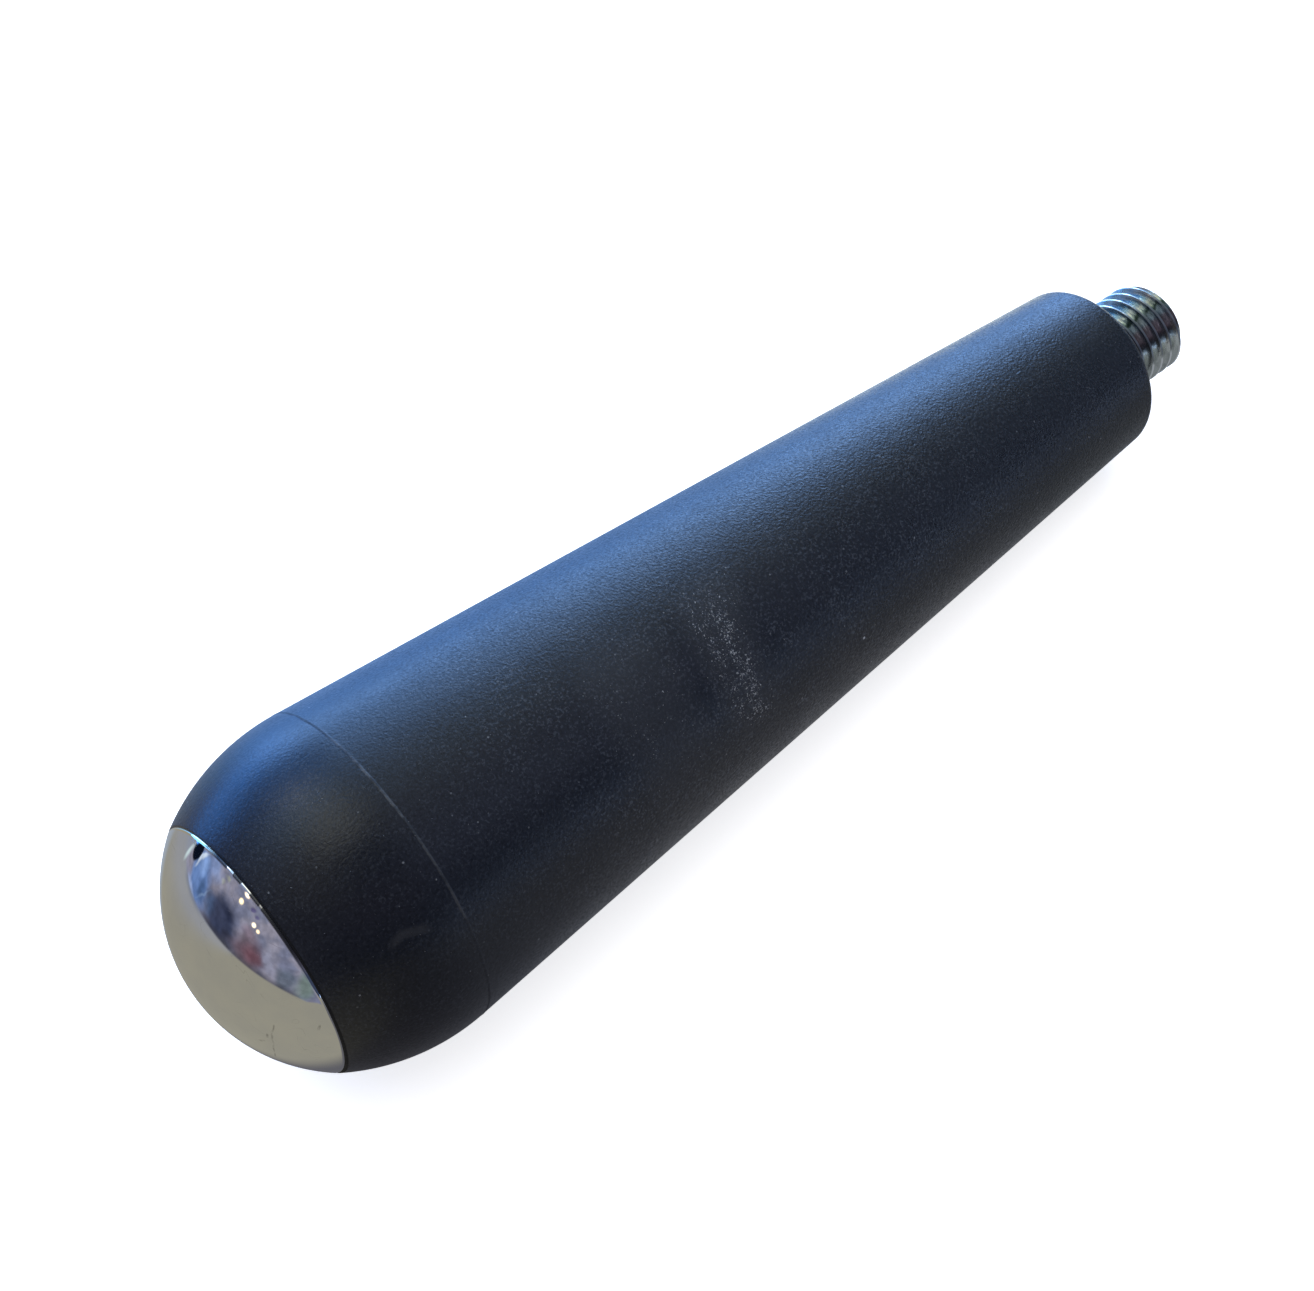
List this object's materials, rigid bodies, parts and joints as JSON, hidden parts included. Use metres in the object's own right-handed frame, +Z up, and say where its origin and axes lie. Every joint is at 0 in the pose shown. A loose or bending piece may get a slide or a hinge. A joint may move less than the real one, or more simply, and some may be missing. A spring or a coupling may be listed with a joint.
{
  "type": "portafilter handle",
  "caption": "Tapered black moulded handle with a round butt, a chrome domed end cap and a threaded steel stud that screws into a portafilter head.",
  "frame": {"origin": "centre of the grip's flat front face, on the handle's axis, where the handle seats against the portafilter head", "axes": "+X along the handle's axis, out of the grip through the threaded stud; +Z up with the handle held level; +Y to the left of someone looking along +X"},
  "size_m": [0.1465, 0.0376, 0.0376],
  "materials": {
    "grip_plastic": "matte, fine spark-eroded mould texture",
    "zinc_steel": "bright zinc plate with a faint blue passivation",
    "cap_chrome": "mirror chrome with light handling scratches"
  },
  "bodies": {
    "root": {"grip": "grip_plastic", "threaded_stud": "zinc_steel", "end_cap": "cap_chrome"}
  },
  "joints": []
}
